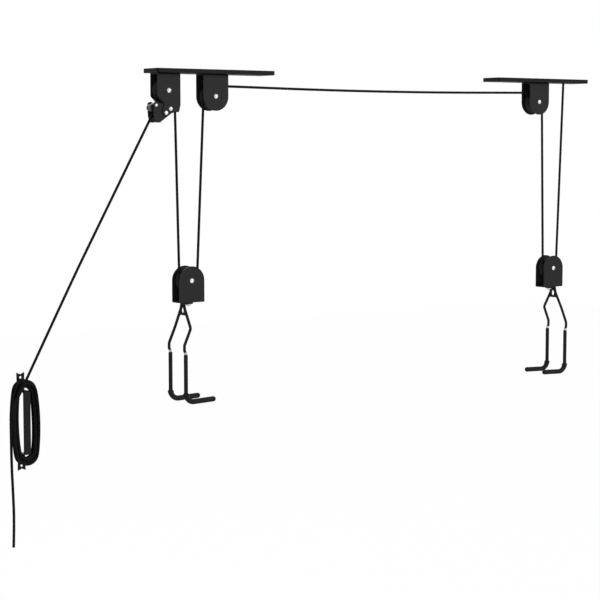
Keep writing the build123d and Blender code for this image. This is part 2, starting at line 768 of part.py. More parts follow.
def least_gap(edges):
    """Least space between the rope's surface and itself, on points along its line."""
    per_edge = 20
    points = [edge @ (step / per_edge) for edge in edges for step in range(per_edge)]
    spots = [(point.X, point.Y, point.Z) for point in points]
    skip = 2 * per_edge
    return min(math.dist(spots[i], spots[j]) for i in range(len(spots)) for j in range(i + skip, len(spots))) - rope_d


entry_way = (lead_end - lead_corner).normalized()
entry = lead_end + entry_way * rope_d
hank_start, hank_start_way = hank_point(0)
hank_end = hank_point(hank_total)[0]
tail_start = hank_end + Vector(0, 0, -rope_d)
with BuildPart() as rope_hank:
    with BuildLine() as route:
        Line(lead_end, entry)
        turns = biarc(entry, entry_way, hank_start, hank_start_way, (hank_start - entry).length * lead_reach)
        for quarter in range(round(4 * hank_total)):
            turns += quarter_turn(quarter)
        Line(hank_end, tail_start)
    with BuildSketch(Plane(origin=lead_end, z_dir=entry_way)):
        Circle(rope_r)
    sweep()
    hank_length = sum(edge.length for edge in route.edges())
save(rope_hank, "rope_hank")
report_tube("rope_hank", rope_hank, hank_length)
print(f"rope_hank: least gap to itself {least_gap(turns):.2f} mm")

# Tail hanging from the hank, with a cut end
tail_drops = [(0, 0), (0.2, -64.5), (2.2, -112.5), (3.4, -156.5), (1.6, -198.5)]
tail_points = [tail_start + Vector(x, 0, z) for x, z in tail_drops]
tail_radii = []
for before, corner, after in zip(tail_points, tail_points[1:], tail_points[2:]):
    turn = math.radians((corner - before).get_angle(after - corner))
    shorter = min((corner - before).length, (after - corner).length)
    tail_radii.append(0.45 * shorter / math.tan(turn / 2))
print("rope_tail radii", [round(radius) for radius in tail_radii])
with BuildPart() as rope_tail:
    with BuildLine() as route:
        FilletPolyline(*tail_points, radius=tail_radii)
    with BuildSketch(Plane(origin=tail_start, z_dir=(0, 0, -1))):
        Circle(rope_r)
    sweep()
    tail_length = sum(edge.length for edge in route.edges())
save(rope_tail, "rope_tail")
report_tube("rope_tail", rope_tail, tail_length)
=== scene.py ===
import json
import math

import bpy
from bpy.props import FloatProperty, FloatVectorProperty, IntProperty, PointerProperty
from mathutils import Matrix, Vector


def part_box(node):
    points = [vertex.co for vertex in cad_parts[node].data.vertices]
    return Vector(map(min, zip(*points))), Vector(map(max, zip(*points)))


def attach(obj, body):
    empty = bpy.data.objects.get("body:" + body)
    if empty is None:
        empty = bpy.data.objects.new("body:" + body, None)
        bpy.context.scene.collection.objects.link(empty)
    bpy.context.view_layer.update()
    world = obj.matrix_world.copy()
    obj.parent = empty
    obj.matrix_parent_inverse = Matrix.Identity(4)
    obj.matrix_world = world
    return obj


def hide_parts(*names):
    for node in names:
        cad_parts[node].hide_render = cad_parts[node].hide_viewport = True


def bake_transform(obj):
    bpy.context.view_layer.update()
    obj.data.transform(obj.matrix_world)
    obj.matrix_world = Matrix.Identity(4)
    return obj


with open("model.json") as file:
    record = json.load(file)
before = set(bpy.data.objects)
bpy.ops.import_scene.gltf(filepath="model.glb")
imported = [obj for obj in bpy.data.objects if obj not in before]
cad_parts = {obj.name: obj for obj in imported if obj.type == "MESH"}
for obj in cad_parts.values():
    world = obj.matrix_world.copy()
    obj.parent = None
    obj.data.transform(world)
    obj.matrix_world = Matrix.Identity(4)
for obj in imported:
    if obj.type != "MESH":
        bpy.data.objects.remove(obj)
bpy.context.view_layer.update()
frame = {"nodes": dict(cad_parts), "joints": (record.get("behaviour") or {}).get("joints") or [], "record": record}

bl_info = {
    "name": "Ceiling Rope Hoist",
    "version": (1, 0, 0),
    "blender": (4, 5, 0),
    "location": "3D View > Sidebar > Hoist",
    "description": "Dresses the ceiling rope hoist with its rope, coated hooks and finishes",
    "category": "Object",
}

# Places taken from the frame
JOINTS = {joint["name"]: joint for joint in frame["joints"]}


def axle(joint):
    """Centre of the sheave or pin that a hinge turns on."""
    return Vector(JOINTS[joint]["pos_m"])


LOCK_AXLE = axle("lock_sheave_spin")
LEFT_AXLE = axle("left_sheave_spin")
RIGHT_AXLE = axle("right_sheave_spin")
LEFT_BLOCK = axle("left_block_sheave_spin")
RIGHT_BLOCK = axle("right_block_sheave_spin")
CAM_PIN = axle("lock_cam_pivot")
PLATE_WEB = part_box("ceiling_plate_right")[0][2]


def middle_x(node):
    """Middle of a node along the span."""
    low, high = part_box(node)
    return (low[0] + high[0]) / 2


ANCHOR_X = middle_x("rope_anchor_knot")
CLEAT_X = middle_x("wall_cleat")


class HoistSizes(bpy.types.PropertyGroup):
    """Sizes of the rope and of the coated hooks."""

    rope_diameter: FloatProperty(name="Rope Diameter",
                                 description="Thickness of the rope over its braid",
                                 default=0.0046, unit="LENGTH", precision=4)
    rope_ring: FloatProperty(name="Rope Ring Spacing",
                             description="Length of rope between two rings of its mesh",
                             default=0.0012, unit="LENGTH", precision=5)
    rope_sides: IntProperty(name="Rope Sides", description="Sides of the rope's mesh", default=12, min=6)
    braid_strands: IntProperty(name="Braid Strands", description="Strands of the braid turning each way",
                               default=4)
    braid_pitch: FloatProperty(name="Braid Pitch", description="Length in which a strand goes once round",
                               default=0.016, unit="LENGTH")
    braid_relief: FloatProperty(name="Braid Relief",
                                description="Depth between two strands as a share of the radius",
                                default=0.045)
    pitch_radius: FloatProperty(name="Sheave Pitch Radius",
                                description="Radius of the rope's line round a sheave",
                                default=0.0175, unit="LENGTH")
    rope_joint: FloatProperty(name="Rope Joint", description="Height between an axle and the end of a fall",
                              default=0.003, unit="LENGTH")
    span_sag: FloatProperty(name="Span Sag", description="Depth by which the span hangs in its middle",
                            default=0.0026, unit="LENGTH", precision=4)
    sleeve_leg: FloatProperty(name="Sleeve Leg Radius", description="Radius of the dip on a hook's leg",
                              default=0.0034, unit="LENGTH")
    sleeve_foot: FloatProperty(name="Sleeve Foot Radius", description="Radius of the dip on a hook's foot",
                               default=0.0046, unit="LENGTH")
    sleeve_sides: IntProperty(name="Sleeve Sides", description="Sides of the dip's mesh", default=28, min=8)


class HoistColours(bpy.types.PropertyGroup):
    """Colours of the finishes."""

    coat: FloatVectorProperty(name="Powder Coat", description="Satin black coat of the pressed steel",
                              subtype="COLOR", default=(0.0105, 0.0105, 0.0114))
    # Painted highlight: paler coat colour along the pressed edges
    coat_edge_highlight: FloatVectorProperty(name="Coat Edge", description="Thin coat along pressed edges",
                                   subtype="COLOR", default=(0.040, 0.040, 0.043))
    zinc: FloatVectorProperty(name="Zinc", description="Bright plated rivets", subtype="COLOR",
                              default=(0.60, 0.61, 0.62))
    bare: FloatVectorProperty(name="Bare Steel", description="Steel that shows above the dip",
                              subtype="COLOR", default=(0.36, 0.36, 0.37))
    wheel: FloatVectorProperty(name="Wheel Plastic", description="Moulded plastic of the sheaves",
                               subtype="COLOR", default=(0.012, 0.012, 0.013))
    dip: FloatVectorProperty(name="Rubber Dip", description="Soft dip on the hooks", subtype="COLOR",
                             default=(0.005, 0.005, 0.0056))
    # Rope colour on the strands' crowns as a painted highlight, and painted shade in the valleys between them
    rope: FloatVectorProperty(name="Rope", description="Crowns of the rope's strands", subtype="COLOR",
                              default=(0.005, 0.005, 0.0054))
    rope_shade: FloatVectorProperty(name="Rope Shade", description="Valleys between the rope's strands",
                                    subtype="COLOR", default=(0.0015, 0.0015, 0.0017))
    cam: FloatVectorProperty(name="Cam Steel", description="Dark oiled steel of the lock's cam",
                             subtype="COLOR", default=(0.06, 0.06, 0.064))


def sizes():
    """The hoist's sizes in the open scene."""
    return bpy.context.scene.hoist_sizes


def colour(name):
    """One of the hoist's colours, with full alpha."""
    return (*getattr(bpy.context.scene.hoist_colours, name), 1.0)


def scaled(name, share):
    """One of the hoist's colours, made paler or darker."""
    return (*(share * part for part in colour(name)[:3]), 1.0)


# Finishes
class Wire:
    """An output socket. Arithmetic on it adds Math nodes to its finish."""

    def __init__(self, finish, socket):
        self.finish = finish
        self.socket = socket

    def math(self, operation, *others):
        """Math node on this socket and the others, in that order."""
        return self.finish.node("ShaderNodeMath", {"operation": operation}, dict(enumerate((self, *others))))

    def __add__(self, other):
        return self.math("ADD", other)

    def __mul__(self, other):
        return self.math("MULTIPLY", other)

    def __sub__(self, other):
        return self.math("SUBTRACT", other)

    def __rsub__(self, other):
        return self.finish.node("ShaderNodeMath", {"operation": "SUBTRACT"}, {0: other, 1: self})

    __radd__ = __add__
    __rmul__ = __mul__

    def sin(self):
        return self.math("SINE")

    def larger(self, other):
        return self.math("MAXIMUM", other)

    def beside(self, output):
        """Another output of the same node."""
        return Wire(self.finish, self.socket.node.outputs[output])

    def ramp(self, low, high):
        """Straight ramp from 0 at low to 1 at high, held at its ends."""
        return self.finish.node("ShaderNodeMapRange", {"clamp": True},
                                {"Value": self, "From Min": low, "From Max": high})


class Finish:
    """A new material with one method for every node that it holds."""

    def __init__(self, name):
        self.material = bpy.data.materials.new(name)
        self.material.use_nodes = True
        self.tree = self.material.node_tree
        self.shader = self.tree.nodes["Principled BSDF"]

    def node(self, kind, settings=None, values=None, output=0):
        """Add a node, set it up, then fill or link its sockets. Gives back one of its outputs."""
        node = self.tree.nodes.new(kind)
        for key, value in (settings or {}).items():
            setattr(node, key, value)
        for key, value in (values or {}).items():
            self.fill(node.inputs[key], value)
        return Wire(self, node.outputs[output])

    def fill(self, socket, value):
        """Link a socket to a wire, or set its value."""
        if isinstance(value, Wire):
            self.tree.links.new(value.socket, socket)
        else:
            socket.default_value = value

    def place(self, kind="Object"):
        """Texture coordinates of one kind."""
        return self.node("ShaderNodeTexCoord", output=kind)

    def noise(self, place, scale, detail=3.0, roughness=0.55):
        """Cloudy noise from 0 to 1."""
        return self.node("ShaderNodeTexNoise", None,
                         {"Vector": place, "Scale": scale, "Detail": detail, "Roughness": roughness})

    def blend(self, factor, first, last):
        """Colour between two colours."""
        return self.node("ShaderNodeMix", {"data_type": "RGBA"}, {0: factor, 6: first, 7: last}, 2)

    def bump(self, height, distance, strength, normal=None):
        """Normal of a surface with some relief, on top of another normal where one is given."""
        values = {"Height": height, "Distance": distance, "Strength": strength}
        if normal:
            values["Normal"] = normal
        return self.node("ShaderNodeBump", None, values)

    def set(self, **values):
        """Fill the shader's own sockets, by name with underscores for spaces."""
        for key, value in values.items():
            self.fill(self.shader.inputs[key.replace("_", " ")], value)
        return self.material


# Weak mirror of the dark finishes
DARK_SPECULAR = 0.10

# Samples of a rounded edge, and how far its normal has turned where an edge mark starts and where it is full: a
# painted highlight on the powder coat, wear on the other finishes
ROUND_SAMPLES = 6
HIGHLIGHT_AND_WEAR_START, HIGHLIGHT_AND_WEAR_FULL = 0.01, 0.16

# Noise scales of the finishes, from coarse to fine
COAT_CLOUD, COAT_SPECK, COAT_PEEL = 55.0, 420.0, 1500.0
ZINC_CLOUD, ZINC_GRAIN = 320.0, 2600.0
WHEEL_CLOUD, WHEEL_GRAIN = 90.0, 1800.0
DIP_WAVE, DIP_PORE = 160.0, 2400.0
CAM_SCRATCH = 1100.0
ROPE_FUZZ = 1700.0

# Rounding of sharp edges and height of the relief, in metres
COAT_ROUND, COAT_RELIEF = 0.0006, 0.00010
ZINC_ROUND, ZINC_RELIEF = 0.0003, 0.00006
WHEEL_ROUND, WHEEL_RELIEF = 0.0004, 0.00005
CAM_ROUND, CAM_RELIEF = 0.0003, 0.00008
DIP_RELIEF = 0.00018
ROPE_RELIEF = 0.00012

# Soft and ragged edge of a bare band, in metres
BARE_EDGE = 0.0006
BARE_RAGGED = 0.0008

# Colours within a finish, and how much paler its cloud is than its own colour
ZINC_DULL = (0.48, 0.48, 0.47, 1.0)
CAM_WORN = (0.20, 0.20, 0.21, 1.0)
COAT_PALER, WHEEL_PALER, DIP_PALER = 1.35, 1.5, 1.8

# Braid: height of a wave at which a valley is cut off and a crown is full, and yarns in a strand
BRAID_VALLEY = -0.2
BRAID_CROWN = 0.95
BRAID_YARNS = 3.0


def rounded(finish, radius):
    """Normal with every sharp edge eased."""
    return finish.node("ShaderNodeBevel", {"samples": ROUND_SAMPLES}, {"Radius": radius})


def along_edges(finish, eased):
    """1 where an eased normal leaves the true one, along the edges, and 0 elsewhere."""
    true = finish.node("ShaderNodeNewGeometry", output="Normal")
    same = finish.node("ShaderNodeVectorMath", {"operation": "DOT_PRODUCT"}, {0: eased, 1: true}, "Value")
    return (1 - same).ramp(HIGHLIGHT_AND_WEAR_START, HIGHLIGHT_AND_WEAR_FULL)


def powder_coat(name="black_powder_coat", bare=None, pale=1.0):
    """Satin black powder coat: fine orange peel, cloudy sheen, and a painted highlight that makes it paler along
    pressed edges.

    bare gives the lowest and highest point of a band where the coat is gone and the steel shows.
    A pale under 1 makes a darker copy of the coat, as painted shade.
    """
    finish = Finish(name)
    place = finish.place()
    peel = finish.noise(place, COAT_PEEL, 2.0)
    cloud = finish.noise(place, COAT_CLOUD, 4.0)
    speck = finish.noise(place, COAT_SPECK, 2.0)
    eased = rounded(finish, COAT_ROUND)
    # Painted highlight along the pressed edges, in patches set by the cloud
    edge_highlight = along_edges(finish, eased) * cloud.ramp(0.35, 0.75)
    # A pale under 1 darkens the whole coat as painted shade
    shade = finish.blend(cloud, scaled("coat", pale), scaled("coat", COAT_PALER * pale))
    tint = finish.blend(edge_highlight, shade, scaled("coat_edge_highlight", pale))
    rough = 0.44 + cloud * 0.10 + speck * 0.05
    if bare:
        low, high = bare
        height = finish.node("ShaderNodeSeparateXYZ", None, {"Vector": place}, "Z") + speck * BARE_RAGGED
        band = height.ramp(low, low + BARE_EDGE) * (1 - height.ramp(high, high + BARE_EDGE))
        tint = finish.blend(band, tint, colour("bare"))
        finish.set(Metallic=band)
    return finish.set(Base_Color=tint, Roughness=rough, Specular_IOR_Level=DARK_SPECULAR,
                      Normal=finish.bump(peel + speck * 0.6, COAT_RELIEF, 0.55, eased))


def bright_zinc():
    """Bright zinc plate on rivets: faint yellow-grey clouds and fine turning marks."""
    finish = Finish("bright_zinc")
    place = finish.place()
    cloud = finish.noise(place, ZINC_CLOUD, 4.0)
    grain = finish.noise(place, ZINC_GRAIN, 2.0)
    eased = rounded(finish, ZINC_ROUND)
    tint = finish.blend(cloud, colour("zinc"), ZINC_DULL)
    rough = 0.26 + cloud * 0.16 + along_edges(finish, eased) * 0.08
    return finish.set(Base_Color=tint, Metallic=1.0, Roughness=rough,
                      Normal=finish.bump(grain, ZINC_RELIEF, 0.5, eased))


def wheel_plastic():
    """Moulded black plastic with a faint mould grain."""
    finish = Finish("sheave_plastic")
    place = finish.place()
    grain = finish.noise(place, WHEEL_GRAIN, 2.0)
    cloud = finish.noise(place, WHEEL_CLOUD)
    tint = finish.blend(cloud, colour("wheel"), scaled("wheel", WHEEL_PALER))
    return finish.set(Base_Color=tint, Roughness=0.42 + cloud * 0.14, Specular_IOR_Level=DARK_SPECULAR,
                      Normal=finish.bump(grain, WHEEL_RELIEF, 0.6, rounded(finish, WHEEL_ROUND)))


def rubber_dip():
    """Soft vinyl dip: slightly wavy, dull, with fine pores."""
    finish = Finish("rubber_dip")
    place = finish.place()
    wave = finish.noise(place, DIP_WAVE)
    pore = finish.noise(place, DIP_PORE, 2.0)
    tint = finish.blend(wave, colour("dip"), scaled("dip", DIP_PALER))
    return finish.set(Base_Color=tint, Roughness=0.48 + wave * 0.16, Specular_IOR_Level=DARK_SPECULAR,
                      Normal=finish.bump(wave * 2.0 + pore * 0.35, DIP_RELIEF, 0.5))


def dark_steel():
    """Oiled dark steel with fine scratches."""
    finish = Finish("cam_steel")
    place = finish.place()
    scratch = finish.noise(place, CAM_SCRATCH, 5.0, 0.7)
    eased = rounded(finish, CAM_ROUND)
    tint = finish.blend(along_edges(finish, eased), colour("cam"), CAM_WORN)
    return finish.set(Base_Color=tint, Metallic=0.85, Roughness=0.34 + scratch * 0.2,
                      Normal=finish.bump(scratch, CAM_RELIEF, 0.5, eased))


def braided_rope():
    """Black braided cord: paler crowns and dark valleys painted as highlight and shade between the strands, and
    fine yarn along each strand.
    """
    finish = Finish("braided_rope")
    turn = finish.node("ShaderNodeSeparateXYZ", None, {"Vector": finish.place("UV")}, "X")
    strands = sizes().braid_strands
    around = turn * (2 * math.pi * strands)
    run = turn.beside("Y") * (2 * math.pi * strands / sizes().braid_pitch)
    crown = (around + run).sin().larger((around - run).sin()).ramp(BRAID_VALLEY, BRAID_CROWN)
    yarn = ((around + run) * BRAID_YARNS).sin() * 0.5 + ((around - run) * BRAID_YARNS).sin() * 0.5
    fuzz = finish.noise(finish.place(), ROPE_FUZZ)
    # Painted shade in the valleys and painted highlight on the crowns of the strands
    tint = finish.blend(crown * fuzz.ramp(0.2, 0.7), colour("rope_shade"), colour("rope"))
    return finish.set(Base_Color=tint, Roughness=0.78 - crown * 0.12, Specular_IOR_Level=DARK_SPECULAR,
                      Normal=finish.bump(yarn * 0.4 + fuzz, ROPE_RELIEF, 0.7))


# Rope routes: order and fineness of a smooth line, and control points of the turns round the sheaves
LINE_ORDER = 3
LINE_FINENESS = 10
LOCK_STEPS = 7
CEILING_STEPS = 4
BLOCK_STEPS = 8


def soft_share(share):
    """A share held between 0 and 1, with a soft start and a soft end."""
    share = min(max(share, 0), 1)
    return share * share * (3 - 2 * share)


def fall_line(upper, upper_radius, lower, lower_radius, side):
    """Tangent points of a fall that leaves the upper circle on one side and meets the lower on the other."""
    run = lower - upper
    down = run.normalized()
    left = Vector((down.z, 0, -down.x))
    lean = (upper_radius + lower_radius) / run.length
    out = down * lean + left * side * math.sqrt(1 - lean**2)
    return upper + out * upper_radius, lower - out * lower_radius


def at_height(line, height):
    """Point of a fall's line at one height."""
    top, bottom = line
    return top + (bottom - top) * ((height - top.z) / (bottom.z - top.z))


def turn_points(centre, radius, start, end, steps):
    """Control points of a turn round a centre: the corners of a polygon that touches the circle."""
    step = (end - start) / steps
    reach = radius / math.cos(step / 2)
    middles = [start + step * (place + 0.5) for place in range(steps)]
    return [centre + Vector((math.cos(a), 0, math.sin(a))) * reach for a in middles]


def heading(centre, point):
    """Angle of a point seen from a centre, in the plane of the sheaves."""
    return math.atan2(point.z - centre.z, point.x - centre.x)


def smooth_line(name, route):
    """Points along the smooth line that has the route's points as its control points."""
    data = bpy.data.curves.new(name, "CURVE")
    data.dimensions = "3D"
    spline = data.splines.new("NURBS")
    spline.points.add(len(route) - 1)
    for control, point in zip(spline.points, route):
        control.co = (*point, 1.0)
    spline.order_u = LINE_ORDER
    spline.use_endpoint_u = True
    spline.resolution_u = LINE_FINENESS
    holder = bpy.data.objects.new(name, data)
    bpy.context.collection.objects.link(holder)
    bpy.context.view_layer.update()
    line = bpy.data.meshes.new_from_object(holder)
    points = [vertex.co.copy() for vertex in line.vertices]
    bpy.data.objects.remove(holder)
    bpy.data.curves.remove(data)
    bpy.data.meshes.remove(line)
    return points


def even_steps(points, spacing):
    """The same line with its points about one spacing apart, and its length."""
    lengths = [0.0]
    for first, last in zip(points, points[1:]):
        lengths.append(lengths[-1] + (last - first).length)
    count = max(2, round(lengths[-1] / spacing))
    line = []
    leg = 0
    for step in range(count + 1):
        target = lengths[-1] * step / count
        while leg < len(points) - 2 and lengths[leg + 1] < target:
            leg += 1
        span = lengths[leg + 1] - lengths[leg]
        share = (target - lengths[leg]) / span if span else 0.0
        line.append(points[leg].lerp(points[leg + 1], share))
    return line, lengths[-1]


def carried_frames(line):
    """A side direction for each point of a line, carried along it without twist."""
    pairs = zip([line[0], *line], [*line[1:], line[-1]])
    ways = [(after - before).normalized() for before, after in pairs]
    side = ways[0].orthogonal().normalized()
    frames = []
    for before, way in zip([ways[0], *ways], ways):
        side = before.rotation_difference(way) @ side
        side = (side - way * side.dot(way)).normalized()
        frames.append((side, way.cross(side)))
    return frames


def skin(name, line, radius, sides):
    """Closed mesh of rings along a line, with UVs round it and along it.

    radius(place, angle) gives each vertex its distance from the line.
    """
    rings = []
    for place, (point, (side, up)) in enumerate(zip(line, carried_frames(line))):
        ring = []
        for corner in range(sides):
            angle = 2 * math.pi * corner / sides
            ring.append(point + (side * math.cos(angle) + up * math.sin(angle)) * radius(place, angle))
        rings.append(ring)
    corners = [corner for ring in rings for corner in ring]
    faces = []
    marks = []
    for place in range(len(rings) - 1):
        for corner in range(sides):
            after = (corner + 1) % sides
            low = place * sides
            faces.append((low + corner, low + after, low + sides + after, low + sides + corner))
            marks.append((place, corner))
    faces.append(tuple(reversed(range(sides))))
    faces.append(tuple(range(len(corners) - sides, len(corners))))
    mesh = bpy.data.meshes.new(name)
    mesh.from_pydata(corners, [], faces)
    uv = mesh.uv_layers.new(name="along")
    step = (line[1] - line[0]).length
    for face, (place, corner) in zip(mesh.polygons, marks):
        around = (corner / sides, (corner + 1) / sides, (corner + 1) / sides, corner / sides)
        along = (place, place, place + 1, place + 1)
        for loop, u, v in zip(face.loop_indices, around, along):
            uv.data[loop].uv = (u, v * step)
    mesh.polygons.foreach_set("use_smooth", [True] * len(mesh.polygons))
    piece = bpy.data.objects.new(name, mesh)
    bpy.context.collection.objects.link(piece)
    return piece


def rope_piece(name, points):
    """Braided rope along some points, its strands standing out of its surface.

    Gives the piece, the line through its middle and its length.
    """
    size = sizes()
    line, length = even_steps(points, size.rope_ring)
    step = length / (len(line) - 1)
    strands = size.braid_strands
    turn = 2 * math.pi * strands / size.braid_pitch

    def radius(place, angle):
        run = turn * place * step
        crown = max(math.sin(strands * angle + run), math.sin(strands * angle - run), BRAID_VALLEY)
        return size.rope_diameter / 2 * (1 - size.braid_relief * (1 - crown) / (1 - BRAID_VALLEY))

    piece = skin(name, line, radius, size.rope_sides)
    piece.data.materials.append(bpy.data.materials.get("braided_rope") or braided_rope())
    return piece, line, length


def anchor_fall():
    """Tangent points of the fall from the stopper knot to the right block."""
    anchor = Vector((ANCHOR_X, 0, PLATE_WEB))
    return fall_line(anchor, 0, RIGHT_BLOCK, sizes().pitch_radius, 1)


def sheave_fall(upper, lower, side):
    """Tangent points of a fall between two sheaves."""
    return fall_line(upper, sizes().pitch_radius, lower, sizes().pitch_radius, side)


# Free rope by the lock, in metres: radius round the cam's hub, and control points before and after that turn
CAM_WRAP = 0.006
CAM_ABOVE = (0.012, 0.003)
CAM_BELOW = (0.003, 0.012, 0.036)

# Straight lead, in metres: its end, its slight bend as a share of the way, and control points before each
LEAD_END = Vector((CLEAT_X - 0.012, -0.0086, -0.5196))
LEAD_BEND = 0.6
BEFORE_BEND = 0.06
BEFORE_END = 0.024

# Hank on the cleat, lengths in metres. Each layer winds inward or outward by the pitch in a turn, its top and
# bottom by the drop, and climbs to the next layer where it reverses. Its sides are flat arcs.
HANK_CENTRE = Vector((CLEAT_X + 0.0030, -0.0030, -0.5700))
HANK_HALF_WIDTH = 0.0226
HANK_HALF_HEIGHT = 0.0695
HANK_PITCH = 0.0048
HANK_LAYER = 0.0048
HANK_DROP = 0.0090
HANK_TURNS = 1.5
HANK_LAYERS = 4
HANK_CLIMB_TURNS = 0.5
HANK_SIDE_TURN = math.radians(8.0)
HANK_SIDE_SHARE = 0.6
HANK_SIDE_STEPS = 2
HANK_END_STEPS = 3

# Steps in metres from the lead's end and from the hank's outer left run, where the rope joins the hank
ENTRY_FROM_LEAD = Vector((-0.0062, 0.0004, -0.0112))
ENTRY_TO_HANK = Vector((-0.0002, -0.0008, 0.026))

# Hanging tail, as steps in metres across and down from where it leaves the hank
TAIL_DROPS = [(0, 0), (0.0002, -0.0645), (0.0022, -0.1125), (0.0034, -0.1565), (0.0016, -0.1985)]


def hank_layer(turn):
    """Number of the layer that is being wound after some turns."""
    return min(int(turn // HANK_TURNS), HANK_LAYERS - 1)


def hank_halves(turn):
    """Half width and half height of the winding after some turns."""
    layer = hank_layer(turn)
    inward = turn - layer * HANK_TURNS
    inward = HANK_TURNS - inward if layer % 2 else inward
    return HANK_HALF_WIDTH - HANK_PITCH * inward, HANK_HALF_HEIGHT - HANK_DROP * inward


def hank_depth(turn):
    """Depth of the winding in layers after some turns, with a soft climb where it reverses."""
    nearest = round(turn / HANK_TURNS)
    if not 0 < nearest < HANK_LAYERS:
        return hank_layer(turn)
    return nearest - 1 + soft_share((turn - nearest * HANK_TURNS) / HANK_CLIMB_TURNS + 0.5)


def hank_points():
    """Control points of the winding, from its left side round and round to its left side again."""
    end_turn = math.pi / 2 - HANK_SIDE_TURN
    side_step = HANK_SIDE_TURN / HANK_SIDE_STEPS
    end_step = end_turn / HANK_END_STEPS
    leans = [(side_step * (place + 0.5), side_step) for place in range(HANK_SIDE_STEPS)]
    leans += [(HANK_SIDE_TURN + end_step * (place + 0.5), end_step) for place in range(HANK_END_STEPS)]
    points = []
    for quarter in range(round(4 * HANK_TURNS * HANK_LAYERS)):
        from_side = quarter % 2 == 0
        left = -1 if quarter % 4 in (0, 3) else 1
        low = -1 if quarter % 4 in (0, 1) else 1
        for lean, step in (leans if from_side else leans[::-1]):
            on_side = lean < HANK_SIDE_TURN
            if on_side:
                share = HANK_SIDE_SHARE * lean / HANK_SIDE_TURN
            else:
                share = HANK_SIDE_SHARE + (1 - HANK_SIDE_SHARE) * (lean - HANK_SIDE_TURN) / end_turn
            turn = (quarter + (share if from_side else 1 - share)) / 4
            half_width, half_height = hank_halves(turn)
            bulge = (half_height - half_width) / (math.sin(HANK_SIDE_TURN) + math.cos(HANK_SIDE_TURN) - 1)
            side_radius = half_width + bulge * math.cos(HANK_SIDE_TURN)
            end_radius = side_radius - bulge
            reach = (side_radius if on_side else end_radius) / math.cos(step / 2)
            across = reach * math.cos(lean) + (half_width - side_radius if on_side else 0)
            tall = reach * math.sin(lean) + (0 if on_side else half_height - end_radius)
            points.append(HANK_CENTRE + Vector((left * across, hank_depth(turn) * HANK_LAYER, low * tall)))
    return points


def lead_points():
    """Control points from the lock sheave's right side over it, round the cam's hub and down to the cleat."""
    size = sizes()
    fall = sheave_fall(LOCK_AXLE, LEFT_BLOCK, -1)
    start = at_height(fall, LOCK_AXLE.z - size.rope_joint)
    over = turn_points(LOCK_AXLE, size.pitch_radius, heading(LOCK_AXLE, fall[0]), math.pi, LOCK_STEPS)
    way_x = LEAD_END.x - CAM_PIN.x
    way_z = LEAD_END.z - CAM_PIN.z
    turn = math.atan2(-way_x, -way_z) + math.asin(CAM_WRAP / math.hypot(way_x, way_z))
    way = Vector((-math.sin(turn), 0, -math.cos(turn)))
    leave = CAM_PIN + Vector((math.cos(turn), 0, -math.sin(turn))) * CAM_WRAP
    corner = leave - way * CAM_WRAP * math.tan(turn / 2)
    bend = leave + way * ((LEAD_END.z - leave.z) / way.z * LEAD_BEND)
    final = (LEAD_END - bend).normalized()
    above = [corner + Vector((0, 0, rise)) for rise in CAM_ABOVE]
    below = [corner + way * run for run in CAM_BELOW]
    down = [bend - way * BEFORE_BEND, bend, LEAD_END - final * BEFORE_END, LEAD_END]
    return [start, *over, *above, corner, *below, *down]


def entry_points():
    """Control points from the end of the lead to the winding's outer left run."""
    outer = HANK_CENTRE - Vector((HANK_HALF_WIDTH, 0, 0))
    return [LEAD_END + ENTRY_FROM_LEAD, outer + ENTRY_TO_HANK]


def tail_points():
    """Control points of the tail below the winding."""
    depth = (HANK_LAYERS - 1) * HANK_LAYER
    outer = HANK_CENTRE + Vector((-HANK_HALF_WIDTH, depth, -sizes().rope_diameter))
    return [outer + Vector((x, 0, z)) for x, z in TAIL_DROPS]


# Operators
class Piece(bpy.types.Operator):
    """Shared by every operator of the hoist"""

    bl_options = {"REGISTER", "UNDO"}

    def execute(self, context):
        self.build(context)
        return {"FINISHED"}


# Finish of each material slot that the pressed, turned and moulded nodes use
SLOT_FINISHES = {"black_steel": powder_coat, "zinc_steel": bright_zinc, "sheave_plastic": wheel_plastic,
                 "cam_steel": dark_steel}

# Pieces given darker copies of the coat as painted shade, and how pale their coat is beside that of the housings
SHADED_COATS = {"ceiling_plate_left": 0.2, "ceiling_plate_right": 0.2, "wall_cleat": 0.5}
# Darker copy of the coat on the hook frames, as painted shade
HOOK_SHADE = 0.4

# Band of bare steel on a hook's crank, in metres below the bottom of its block
BARE_HIGH = -0.0822
BARE_LOW = -0.0866


class HOIST_OT_metalwork(Piece):
    """Give the plates, housings, sheaves, rivets, cam, hooks and cleat their finishes"""

    bl_idname = "hoist.metalwork"
    bl_label = "Metalwork and Sheaves"

    def build(self, context):
        finishes = {slot: make() for slot, make in SLOT_FINISHES.items()}
        # Painted shade: darker copies of the coat on the plates, the cleat and the hook frames
        own = {node: powder_coat(f"{node}_coat", pale=pale) for node, pale in SHADED_COATS.items()}
        for side in ("left", "right"):
            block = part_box(f"{side}_block_housing")[0][2]
            bare = (block + BARE_LOW, block + BARE_HIGH)
            own[f"{side}_hook_frame"] = powder_coat(f"{side}_hook_coat", bare, HOOK_SHADE)
        for part in frame["record"]["subparts"]:
            finish = own.get(part["node"]) or finishes.get(part["material_slot"])
            if finish is None:
                continue
            data = frame["nodes"][part["node"]].data
            data.materials.clear()
            data.materials.append(finish)


class HOIST_OT_free_rope(Piece):
    """Lay the free rope from the lock to the cleat, wind it into its hank and let its tail hang"""

    bl_idname = "hoist.free_rope"
    bl_label = "Lead, Hank and Tail"

    def build(self, context):
        route = [*lead_points(), *entry_points(), *hank_points(), *tail_points()]
        piece, line, length = rope_piece("free_rope", smooth_line("free_rope_line", route))
        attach(piece, "rack")
        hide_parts("rope_lead", "rope_hank", "rope_tail")


def stretch_evenly(piece, start, end):
    """Each point's share of the way down a tight fall, worked out and not used.
    """
    way = end - start
    shares = [(vertex.co - start).dot(way) / way.length_squared for vertex in piece.data.vertices]


